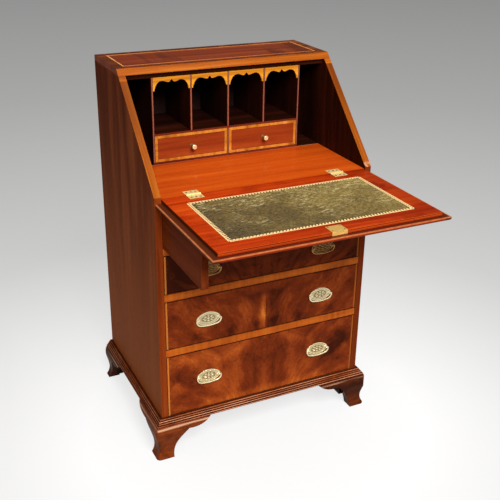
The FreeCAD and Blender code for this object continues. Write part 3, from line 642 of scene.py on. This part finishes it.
def old_brass(name, bright, dull, rough, bare, darkening_rule=None):
    """Polished brass, tarnished brown where a cloth does not reach, and darkened where a given rule says so:
    painted shade on a knob, dulling on the lock's top.
    """
    brass = Finish(name)
    tarnish = brass.noise(scale=90.0, detail=5.0, rough=0.65)
    scuffs = brass.noise(stretch=(900.0, 900.0, 120.0), detail=2.0)
    chasing = brass.noise(scale=380.0, rough=0.6)
    recess = brass.node("ShaderNodeAttribute", out=2, attribute_name="recess")
    share = brass.maths("MAXIMUM", brass.ease(tarnish, 0.48, 0.74), recess)
    brass.colour = brass.mix(share * 0.7, srgb(*bright), srgb(*dull))
    brass.lay(recess * 0.85, tarnish_and_shade_brown)
    # The given rule darkens: painted shade on the knobs, dulling on the lock's top
    if darkening_rule:
        brass.lay(darkening_rule(brass) * 0.8, tarnish_and_shade_brown)
    return brass.surface(
        metallic=bare - share * 0.2,
        roughness=rough - 0.05 + share * 0.16 + scuffs * 0.08,
        normal=brass.bump(tarnish * 0.4 + chasing * 0.6 + scuffs * 0.15, 0.3 * mm, 0.45),
    )


def knob_neck_and_rim_shade(brass):
    """Painted shade: 1 on the neck of a small drawer knob and round the outside of its rim, and 0 on its
    face.
    """
    low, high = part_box("right_small_drawer_knob")
    centre = (low + high) / 2
    radius = (high.x - low.x) / 2
    from_axis = brass.length(abs(brass.x) - centre.x, brass.z - centre.z)
    rim = brass.ease(from_axis, 0.72 * radius, 0.92 * radius)
    return brass.maths("MAXIMUM", rim, brass.ease(brass.y, low.y + 3.0 * mm, low.y + 7.0 * mm))


def lock_top(brass):
    """A little more than 0 on the upper face of the lock, where hands and ink have dulled it."""
    return (brass.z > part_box("fall_lock")[1].z - skin) * 0.4


def worn_leather():
    """Olive hide, rubbed and scratched by years of writing, lighter to the right and back as a painted
    sheen, and darker round its edge.
    """
    edge_w = 11.5 * mm
    hide = Finish("worn_leather")
    low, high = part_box("writing_leather")
    clouds = hide.noise(scale=9.0, detail=5.0, rough=0.6)
    speckle = hide.noise(scale=170.0, detail=4.0, rough=0.7)
    back_share = (hide.y - low.y) / (high.y - low.y)
    right_share = (hide.x - low.x) / (high.x - low.x)
    # The lift in tone to the right and back is a painted sheen
    tone = clouds * 0.3 + speckle * 0.55 + right_share * 0.1 + back_share * 0.06
    hide.colour = hide.ramp(tone, (0.36, 0.5, 0.66), hide_tones.all)
    scratches = 0.0
    for turn, seed in ((0.5, 1.0), (-0.4, 4.0), (1.2, 7.0), (2.3, 9.0)):
        place = hide.node("ShaderNodeMapping", {
            "Vector": hide.place,
            "Location": (seed, seed, 0.0),
            "Rotation": (0.0, 0.0, turn),
            "Scale": (48.0, 520.0, 1.0),
        })
        scratches = hide.maths("MAXIMUM", hide.noise(at=place, detail=1.0), scratches)
    used = hide.noise(scale=14.0) + back_share * 0.3 + right_share * 0.1
    rubbed = hide.ease(scratches, 0.665, 0.72) * hide.ease(used, 0.58, 0.82)
    hide.lay(rubbed * 0.9, rubbed_hide)
    inset, _ = hide.inset(low, high, 0, 1)
    hide.lay((inset < edge_w) * 0.45, hide_tones.deep)
    pebble = hide.node("ShaderNodeTexVoronoi", {"Vector": hide.place, "Scale": 700.0})
    return hide.surface(
        roughness=0.5 - rubbed * 0.08 + speckle * 0.1,
        normal=hide.bump(pebble * 0.5 + speckle * 0.5, 0.3 * mm, 0.5),
    )


def gold_leaf():
    """Gold pressed into leather, thin in places."""
    gold = Finish("tooled_gold")
    thin = gold.noise(scale=160.0, detail=4.0, rough=0.7)
    share = gold.ease(thin, 0.5, 0.72)
    gold.colour = gold.mix(share * 0.4, srgb(244, 208, 146), srgb(170, 130, 72))
    return gold.surface(metallic=0.05, roughness=0.38 + share * 0.2, normal=gold.bump(thin, 0.2 * mm, 0.4))


# Dress the pieces that keep their solid

def dress(material, *names):
    for name in names:
        nodes[name].material_slots[0].material = material


def dress_boxed(make, name, suffix, *more):
    """Dresses one piece in a material made for its box."""
    dress(make(name + suffix, *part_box(name), *more), name)


def ease_edges(width, *names):
    """Rounds the sharp edges of flat-sided pieces, as planing and wear leave them."""
    for name in names:
        piece = nodes[name]
        weld = piece.modifiers.new("weld", "WELD")
        weld.merge_threshold = 0.02 * mm
        flat = piece.modifiers.new("flat", "DECIMATE")
        flat.decimate_type = "DISSOLVE"
        flat.angle_limit = math.radians(0.5)
        arris = piece.modifiers.new("arris", "BEVEL")
        arris.width = width
        arris.segments = 2
        arris.limit_method = "ANGLE"
        arris.angle_limit = math.radians(40)


# Carcass and pigeonholes
inner_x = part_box("writing_bed")[1].x
front_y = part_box("lower_rail")[0].y
dress(side_mahogany(*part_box("left_side"), inner_x), "left_side", "right_side")
dress(banded_top(), "top_board")
dress(slope_banding(), "slope_bands")
dress(satinwood("valance_satinwood", "X", satin_tones), "pigeonhole_valances")
dress(satinwood("top_line_wood", "X", top_line_tones), "top_stringing")
dress(bare_softwood("back_pine", "Z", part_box("back_boards")), "back_boards")
dress(bare_softwood("bottom_pine", "X"), "carcass_bottom")
dress(bare_softwood("runner_wood", "Y"), "drawer_runners")
# How dark the patches on each rail go: the upper and loper rails, under the fall, take more as a painted
# shadow of the fall
for rail, patch_and_shadow_share in (("lower_rail", 0.15), ("upper_rail", 0.34), ("loper_rail", 0.34)):
    dress_boxed(crossbanded_rail, rail, "_banding", patch_and_shadow_share)
dress(fall_mahogany(), "fall_panel")
# The stop rail under the top takes near-black tones as painted shade
dress(plain_mahogany("stop_rail_mahogany", "X", shade_tones, coat=0.02, gloss=0.05), "fall_stop_rail")
upright_low, upright_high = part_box("pigeonhole_uprights")
upright_t = 5.0 * mm
pigeonholes = 4
upright_spacing = (upright_high.x - upright_low.x - upright_t) / pigeonholes
dress(bed_mahogany(upright_low.y), "writing_bed")
dress(shaded_mahogany("upright_mahogany", "Z", upright_low.y, upright_spacing), "pigeonhole_uprights")
dress(shaded_mahogany("pigeonhole_mahogany", "X", upright_low.y), "pigeonhole_boards")
dress(shaded_mahogany("partition_mahogany", "Z", front_y), "loper_partitions")

# Base: tones, number of crests, how far up they stand and how wide their painted highlight is
reeds = (foot_tones, 4, 0.72, 0.95 * mm)
dress(two_way_mahogany("moulding_mahogany", *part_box("base_moulding"), *reeds), "base_moulding")
for end in ("front_left", "front_right", "back_left", "back_right"):
    # The front left foot takes the lit tones and a wide painted highlight on its shoulder; the other feet
    # take darker tones as painted shade, with a narrower highlight
    tones, shoulder_w = (foot_tones, 5.5 * mm) if end == "front_left" else (shaded_foot_tones, 3.0 * mm)
    dress_boxed(two_way_mahogany, end + "_foot", "_mahogany", tones, 1, 0.94, shoulder_w)

# Lopers and small drawers
for side in sides:
    loper = side + "_loper"
    dress(plain_mahogany(loper + "_mahogany", "Y", loper_tones, 0.01, 0.02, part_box(loper)), loper)
    dress_boxed(banded_front, side + "_small_drawer_front", "_veneer")
    dress_boxed(drawer_lining, side + "_small_drawer_box", "_oak", 5 * mm)

# Long drawers: how dark each veneer is, and its spots in metres. The second drawer's extra darkness and the
# dark spot at its left end are painted shade of the fall and the loper
figure = {
    "top": (0.0, []),
    "second": (0.06, [(-0.29, 0.05, 0.24, 0.2, -0.09)]),
    "third": (0.0, [
        (-0.007, 0.045, 0.02, 0.085, 0.17),
        (-0.1, 0.073, 0.12, 0.05, 0.03),
        (0.03, 0.05, 0.07, 0.09, -0.07),
    ]),
    "bottom": (0.0, [
        (-0.19, 0.159, 0.22, 0.045, 0.08),
        (0.0, 0.007, 0.5, 0.024, 0.1),
        (0.2, 0.099, 0.2, 0.09, -0.08),
    ]),
}
for order, drawer in enumerate(long_drawers):
    dress_boxed(flame_front, drawer + "_drawer_front", "_flame", order * 1.7, *figure[drawer])
    dress_boxed(drawer_lining, drawer + "_drawer_box", "_oak", 9 * mm)

# Metals: bright and dull colour, roughness, how bare they are, and a rule for where they are darkened
looks = {
    # The plate brasses are lit and shaded copies: the dim plates on the top and second drawers are darker
    # and browner from less handling and as painted shade of the fall, and the third drawer's are made
    # brighter as painted light
    "dim_plate_brass": ((240, 196, 124), (138, 94, 44), 0.2, 0.6),
    "third_plate_brass": ((255, 248, 206), (248, 212, 136), 0.12, 0.02),
    "bottom_plate_brass": ((255, 244, 196), (230, 188, 110), 0.12, 0.26),
    "hinge_brass": ((246, 214, 144), (206, 162, 86), 0.4, 0.45),
    "lock_brass": ((255, 210, 118), (206, 156, 66), 0.4, 0.45, lock_top),
    "knob_brass": ((255, 232, 170), (190, 144, 76), 0.3, 0.4, knob_neck_and_rim_shade),
    "screw_brass": ((104, 72, 34), (62, 40, 18), 0.45, 0.8),
    "pin_steel": ((150, 140, 124), (92, 82, 70), 0.4, 0.8),
}
metal = {name: old_brass(name, *look) for name, look in looks.items()}
plate_looks = {"top": "dim", "second": "dim", "third": "third", "bottom": "bottom"}
handle_brass = {drawer: metal[look + "_plate_brass"] for drawer, look in plate_looks.items()}
dress(metal["hinge_brass"], "bed_hinge_leaves", "fall_hinge_leaves")
dress(metal["lock_brass"], "fall_lock", "fall_lock_bolt")
dress(metal["screw_brass"], "bed_hinge_screws", "fall_hinge_screws")
dress(metal["pin_steel"], "hinge_pins")
for side in sides:
    dress(metal["knob_brass"], side + "_small_drawer_knob")
    for drawer in long_drawers:
        dress(handle_brass[drawer], drawer + "_" + side + "_bail")


# Pieces made here

def keep(shape, name, body, material, more=None):
    """Makes a closed bmesh, and the faces of one more mesh, into a piece that rides on a body."""
    smooth_up_to = math.radians(35)
    bmesh.ops.remove_doubles(shape, verts=shape.verts, dist=0.001 * mm)
    bmesh.ops.recalc_face_normals(shape, faces=shape.faces)
    mesh = bpy.data.meshes.new(name)
    shape.to_mesh(mesh)
    shape.free()
    mesh.polygons.foreach_set("use_smooth", [True] * len(mesh.polygons))
    mesh.set_sharp_from_angle(angle=smooth_up_to)
    if more:
        whole = bmesh.new()
        whole.from_mesh(mesh)
        whole.from_mesh(more)
        whole.to_mesh(mesh)
        whole.free()
    # Clearing also sets every face back to the first material
    mesh.materials.clear()
    mesh.materials.append(material)
    made = add_object(name, mesh)
    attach(made, body)
    return made


def skin_rings(shape, rings):
    """Closes a row of rings into a solid, with a face at each end."""
    turns = len(rings[0])
    for ring, following in zip(rings, rings[1:]):
        for i in range(turns):
            j = (i + 1) % turns
            shape.faces.new((ring[i], ring[j], following[j], following[i]))
    shape.faces.new(rings[0])
    shape.faces.new(rings[-1])


def turned(shape, outline, centre, turns=24):
    """Adds a shape turned about a line along Y, from (radius, reach out of the drawer) pairs in mm."""
    rings = []
    for radius, reach in outline:
        ring = []
        for i in range(turns):
            angle = math.tau * i / turns
            offset = Vector((radius * math.cos(angle), -reach, radius * math.sin(angle))) * mm
            ring.append(shape.verts.new(centre + offset))
        rings.append(ring)
    skin_rings(shape, rings)


# Handles, in mm. The shares are places between the middle of a plate and its rim.
plate_half_w = 34.0
plate_half_h = 19.0
plate_turns = 160
boss_end, petal_end, ridge_end, field_end = 0.15, 0.55, 0.62, 0.84
relief_shares = [
    0.04, 0.09, 0.13, boss_end, 0.17, 0.2, 0.24, 0.29, 0.35, 0.41, 0.46, 0.5, 0.53, petal_end, 0.565, 0.585,
    0.605, ridge_end, 0.69, 0.77, field_end, 0.85, 0.868, 0.892, 0.92, 0.948, 0.972, 0.99, 1.0]
post_x = 29.0
post_outline = [
    (2.4, -23.9), (2.4, 0.2), (3.7, 0.3), (4.0, 0.9), (3.6, 1.7), (2.8, 2.3), (2.4, 3.0), (2.6, 3.8),
    (2.95, 5.0), (3.0, 6.0), (2.9, 7.2), (2.5, 8.1), (1.7, 8.7), (0.8, 8.95)]
nut_outline = [(4.2, -23.6), (5.0, -23.0), (5.0, -20.1), (2.5, -20.05)]
nut_sides = 6


def plate_relief(share, angle):
    """Height of a stamped plate and the dirt in it: boss, petals, ridge, hatched field, rolled rim."""
    petals, hatches = 8, 40
    if share < boss_end:
        out = share / boss_end
        return 1.1 + 1.25 * math.cos(out * math.pi / 2), out ** 4
    if share < petal_end:
        lift = math.sin(math.pi * (share - boss_end) / (petal_end - boss_end))
        petal = (0.5 + 0.5 * math.cos(petals * angle)) ** 0.7
        return 0.75 + 1.75 * lift * petal, 1 - lift * petal
    if share < ridge_end:
        ridge = math.sin(math.pi * (share - petal_end) / (ridge_end - petal_end))
        return 0.85 + 0.3 * ridge, 1 - 0.6 * ridge
    if share < field_end:
        hatch = 0.5 + 0.5 * math.cos(hatches * angle)
        return 0.75 + 0.45 * hatch, 0.1 + 0.6 * (1 - hatch)
    roll = math.sin(math.pi * (share - field_end) / (1 - field_end)) ** 0.6
    return 0.85 + 0.9 * roll, 0.8 * (1 - roll)


def pointed(share, power):
    """A sine or cosine to a power: over 1 it points the ends of an oval, and under 1 it fills them."""
    return math.copysign(abs(share) ** power, share)


def stamped_plate(shape, recess, centre):
    """Adds an oval handle plate with its relief, pointed above, fuller below and closed at the back."""
    rings = []
    for order, share in enumerate(relief_shares + [1.0]):
        at_back = order == len(relief_shares)
        ring = []
        for i in range(plate_turns):
            angle = math.tau * i / plate_turns
            height, dirt = (0.0, 1.0) if at_back else plate_relief(share, angle)
            power = 1.15 if angle < math.pi else 0.94
            x = plate_half_w * share * pointed(math.cos(angle), power)
            z = plate_half_h * share * pointed(math.sin(angle), power)
            vert = shape.verts.new(centre + Vector((x, -height, z)) * mm)
            vert[recess] = max(dirt, 0.0)
            ring.append(vert)
        rings.append(ring)
    skin_rings(shape, rings)


def bead_rings(name, spread, face_y, level, brass):
    """Small beads round the field of a drawer's two plates."""
    pattern = Pattern(
        name,
        Half_width=0.75 * plate_half_w * mm,
        Half_height=0.74 * plate_half_h * mm,
        Bead_radius=0.62 * mm,
        Bead_count=72,
        Left_place=(-spread, face_y, level),
        Right_place=(spread, face_y, level),
    )
    given = pattern.given
    circle = pattern.node("GeometryNodeCurvePrimitiveCircle", {"Resolution": 180, "Radius": 1.0})
    oval = pattern.moved(circle, Scale=pattern.join(given["Half_width"], given["Half_height"], 1.0))
    spaced = {"Curve": oval, "Count": given["Bead_count"]}
    points = pattern.node("GeometryNodeCurveToPoints", spaced, mode="COUNT")
    bead = pattern.node("GeometryNodeMeshIcoSphere", {"Radius": given["Bead_radius"], "Subdivisions": 2})
    upright = pattern.moved(pattern.repeat(bead, points), Rotation=(math.pi / 2, 0, 0))
    left = pattern.moved(upright, Translation=given["Left_place"])
    right = pattern.moved(upright, Translation=given["Right_place"])
    return pattern.grow(name, pattern.node("GeometryNodeJoinGeometry", {0: [left, right]}), brass)


def drawer_handles(drawer):
    """Plates, posts and nuts of a long drawer's two handles."""
    bead_reach = 0.85 * mm
    low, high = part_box(drawer + "_drawer_brasses")
    face_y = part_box(drawer + "_drawer_front")[0].y
    level = (low.z + high.z) / 2
    spread = high.x - plate_half_w * mm
    brass = handle_brass[drawer]
    shape = bmesh.new()
    recess = shape.verts.layers.float.new("recess")
    for side in (-1, 1):
        centre = Vector((side * spread, face_y, level))
        stamped_plate(shape, recess, centre)
        for end in (-1, 1):
            post = centre + Vector((end * post_x * mm, 0, 0))
            turned(shape, post_outline, post)
            turned(shape, nut_outline, post, nut_sides)
    beads = bead_rings(drawer + "_beads", spread, face_y - bead_reach, level, brass)
    made = keep(shape, drawer + "_handles", drawer + "_drawer", brass, beads)
    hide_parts(drawer + "_drawer_brasses")


def slab(shape, low, high, arris=0.0):
    """Adds a box between two corners, with its edges taken off where an arris is given."""
    made = bmesh.ops.create_cube(shape, size=1.0)["verts"]
    bmesh.ops.scale(shape, vec=high - low, verts=made)
    bmesh.ops.translate(shape, vec=(low + high) / 2, verts=made)
    if arris:
        edges = list({edge for vert in made for edge in vert.link_edges})
        bmesh.ops.bevel(shape, geom=edges, offset=arris, segments=2, affect="EDGES")


def end_stringing(drawer, wood):
    """Light lines let into the two ends of a long drawer's front, standing just proud of it."""
    inset, line_w, short_by = 0.6 * mm, 4.8 * mm, 0.7 * mm
    proud, sunk, arris = 0.12 * mm, 0.4 * mm, 0.08 * mm
    low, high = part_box(drawer + "_drawer_front")
    outer = high.x - inset
    shape = bmesh.new()
    for side in (-1, 1):
        x0, x1 = sorted((side * outer, side * (outer - line_w)))
        start = Vector((x0, low.y - proud, low.z + short_by))
        end = Vector((x1, low.y + sunk, high.z - short_by))
        slab(shape, start, end, arris)
    keep(shape, drawer + "_stringing", drawer + "_drawer", wood)


def leather_panel():
    """The writing leather: a thin hide glued down, a little uneven, with softened edges."""
    low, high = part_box("writing_leather")
    columns, rows = 120, 62
    stride = columns + 1
    shape = bmesh.new()
    top = []
    for j in range(rows + 1):
        for i in range(columns + 1):
            u, v = i / columns, j / rows
            x = low.x + (high.x - low.x) * u
            y = low.y + (high.y - low.y) * v
            at_rim = min(u, 1 - u, v, 1 - v) <= 0
            wide = noise.noise(Vector((x * 30, y * 30, 1.5)))
            fine = noise.noise(Vector((x * 95, y * 95, 4.0)))
            sink = 0.25 if at_rim else 0.1 + 0.06 * (wide + fine * 0.5)
            top.append(shape.verts.new((x, y, high.z - sink * mm)))
    for j in range(rows):
        for i in range(columns):
            k = j * stride + i
            shape.faces.new((top[k], top[k + 1], top[k + stride + 1], top[k + stride]))
    outline = [top[i] for i in range(columns)]
    outline += [top[j * stride + columns] for j in range(rows)]
    outline += [top[rows * stride + i] for i in range(columns, 0, -1)]
    outline += [top[j * stride] for j in range(rows, 0, -1)]
    under = [shape.verts.new((vert.co.x, vert.co.y, low.z)) for vert in outline]
    for i in range(len(outline)):
        j = (i + 1) % len(outline)
        shape.faces.new((outline[j], outline[i], under[i], under[j]))
    shape.faces.new(under)
    made = keep(shape, "leather_panel", "fall", worn_leather())
    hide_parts("writing_leather")


def ruled_line(shape, low, high, turn, end):
    """Adds one side of a ruled rectangle on the leather: along X at turn 0 and along Y at turn 1."""
    inset, line_w, sunk, proud = 0.6 * mm, 2.9 * mm, 0.2 * mm, 0.03 * mm
    half = (high - low) / 2
    centre = (low + high) / 2
    reach = half[turn] - inset
    outer = half[1 - turn] - inset
    start = Vector((0, 0, -sunk))
    stop = Vector((0, 0, proud))
    start[turn], stop[turn] = -reach, reach
    start[1 - turn], stop[1 - turn] = sorted((end * outer, end * (outer - line_w)))
    base = Vector((centre.x, centre.y, high.z))
    slab(shape, base + start, base + stop)


def tooled_border():
    """Gold tooling round the leather: a ruled line with a row of slanted leaves inside it."""
    leaf_inset = 7.0 * mm
    low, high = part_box("writing_leather")
    centre = (low + high) / 2
    gold = gold_leaf()
    pattern = Pattern(
        "tooled_leaves",
        Width=high.x - low.x - 2 * leaf_inset,
        Depth=high.y - low.y - 2 * leaf_inset,
        Leaf_pitch=8.2 * mm,
        Leaf_size=(4.2 * mm, 2.3 * mm, 0.12 * mm),
        Leaf_slant=(0.0, 0.0, math.radians(62)),
        Place=(centre.x, centre.y, high.z - 0.06 * mm),
    )
    given = pattern.given
    path = pattern.node(
        "GeometryNodeCurvePrimitiveQuadrilateral", {"Width": given["Width"], "Height": given["Depth"]})
    spaced = {"Curve": path, "Length": given["Leaf_pitch"]}
    points = pattern.node("GeometryNodeCurveToPoints", spaced, mode="LENGTH")
    tangent = points.sibling("Tangent")
    facing = pattern.node("FunctionNodeAlignRotationToVector", {"Vector": tangent}, axis="X")
    disc = pattern.node("GeometryNodeMeshCylinder", {"Vertices": 10, "Radius": 1.0, "Depth": 1.0})
    leaf = pattern.moved(pattern.moved(disc, Scale=given["Leaf_size"]), Rotation=given["Leaf_slant"])
    row = pattern.moved(pattern.repeat(leaf, points, facing), Translation=given["Place"])
    shape = bmesh.new()
    for turn in (0, 1):
        for end in (-1, 1):
            ruled_line(shape, low, high, turn, end)
    leaves = pattern.grow("tooled_leaves", row, gold)
    keep(shape, "tooled_border", "fall", gold, leaves)


def slotted_head(shape, centre, radius):
    """Adds a flush screw head in two halves with a slot between them."""
    proud = Vector((0, 0, 0.05 * mm))
    depth = Vector((0, 0, 0.45 * mm))
    points = 9
    edge = math.asin(0.16)
    for side in (-1, 1):
        rim = []
        for i in range(points):
            angle = edge + (math.pi - 2 * edge) * i / (points - 1)
            rim.append(centre + Vector((radius * math.cos(angle), side * radius * math.sin(angle), 0)))
        top = [shape.verts.new(point + proud) for point in rim]
        low = [shape.verts.new(point - depth) for point in rim]
        skin_rings(shape, [top, low])


def lock_screws():
    """Four small slotted screws in the lock plate."""
    margin, front_margin, head_r = 4.5 * mm, 6.5 * mm, 2.1 * mm
    low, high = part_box("fall_lock")
    shape = bmesh.new()
    for x in (low.x + margin, high.x - margin):
        for y in (low.y + front_margin, high.y - margin):
            slotted_head(shape, Vector((x, y, high.z)), head_r)
    keep(shape, "lock_screws", "fall", metal["screw_brass"])


line_wood = satinwood("stringing_wood", "Z", string_tones)
for drawer in long_drawers:
    drawer_handles(drawer)
    end_stringing(drawer, line_wood)
leather_panel()
tooled_border()
lock_screws()

ease_edges(0.5 * mm, "top_board", "fall_panel", "fall_lock")
ease_edges(0.4 * mm, "left_side", "right_side", "lower_rail", "upper_rail", "loper_rail")
ease_edges(0.6 * mm, *[drawer + "_drawer_front" for drawer in long_drawers])
ease_edges(0.4 * mm, "left_small_drawer_front", "right_small_drawer_front", "pigeonhole_uprights")


# Studio: floor, light and camera

def floor_paint():
    """A pale floor that greys with distance, partly lit from within where it is seen."""
    lit_share = 0.25
    paint = Finish("floor_paint")
    distance = paint.length(paint.x, paint.y)
    far = paint.maths("LOGARITHM", distance * 2.0 + 1.0, 2.0) / 4.5
    greys = [srgb(level, level, level) for level in (254, 214, 184, 160)]
    shade = paint.ramp(far, (0.22, 0.42, 0.7, 1.0), greys)
    camera_ray = paint.node("ShaderNodeLightPath")
    glossy_ray = camera_ray.sibling("Is Glossy Ray")
    clear_ray = camera_ray.sibling("Is Transmission Ray")
    shown = paint.mix(glossy_ray * 0.82, shade, srgb(112, 78, 52))
    glow = paint.node("ShaderNodeEmission", {"Color": shown, "Strength": 1 - lit_share})
    lit = paint.node("ShaderNodeBsdfDiffuse", {"Color": paint.mix(1 - lit_share, shown, srgb(0, 0, 0))})
    seen = paint.node("ShaderNodeAddShader", {0: glow, 1: lit})
    plain = paint.node("ShaderNodeBsdfDiffuse", {"Color": srgb(200, 200, 200)})
    looked_at = paint.maths("MAXIMUM", paint.maths("MAXIMUM", camera_ray, glossy_ray), clear_ray)
    return paint.close(paint.node("ShaderNodeMixShader", {0: looked_at, 1: plain, 2: seen}))


def softbox(name, place, target, size, power):
    """A square soft light aimed at a point."""
    lamp = bpy.data.lights.new(name, "AREA")
    lamp.size = size
    lamp.energy = power
    made = add_object(name, lamp)
    made.location = place
    aim = Vector(target) - Vector(place)
    made.rotation_euler = aim.to_track_quat("-Z", "Y").to_euler()


floor_reach = 40.0
floor_mesh = bpy.data.meshes.new("floor")
corners = [(x * floor_reach, y * floor_reach, 0) for x, y in ((-1, -1), (1, -1), (1, 1), (-1, 1))]
floor_mesh.from_pydata(corners, [], [(0, 1, 2, 3)])
floor_mesh.materials.append(floor_paint())
floor = add_object("floor", floor_mesh)

middle = (0.0, 0.0, 0.6)
softbox("front_light", (-0.4, -2.6, 2.9), middle, 1.5, 150)
softbox("left_light", (-2.6, -1.2, 1.9), middle, 2.0, 16)
softbox("top_light", (0.2, 0.2, 3.4), middle, 2.2, 40)

world = bpy.data.worlds.new("studio")
world.use_nodes = True
scene.world = world
room = Tree(world.node_tree)
far_wall = room.node("ShaderNodeBackground", {"Color": srgb(160, 160, 160)})
dim_air = room.node("ShaderNodeBackground", {"Color": srgb(88, 74, 60)})
to_camera = room.node("ShaderNodeLightPath")
air = room.node("ShaderNodeMixShader", {0: to_camera, 1: dim_air, 2: far_wall})
room.node("ShaderNodeOutputWorld", {"Surface": air})

camera_data = bpy.data.cameras.new("camera")
camera_data.sensor_width = 36.0
camera_data.lens = 59.1
camera = add_object("camera", camera_data)
look_azimuth = math.radians(-26.0)
look_down = math.radians(24.54)
look_roll = math.radians(0.93)
turn = Matrix.Rotation(look_azimuth, 4, "Z") @ Matrix.Rotation(math.pi / 2 - look_down, 4, "X")
camera.matrix_world = Matrix.Translation((-0.896, -1.788, 1.451)) @ turn @ Matrix.Rotation(look_roll, 4, "Z")
scene.camera = camera
scene.view_settings.view_transform = "Standard"
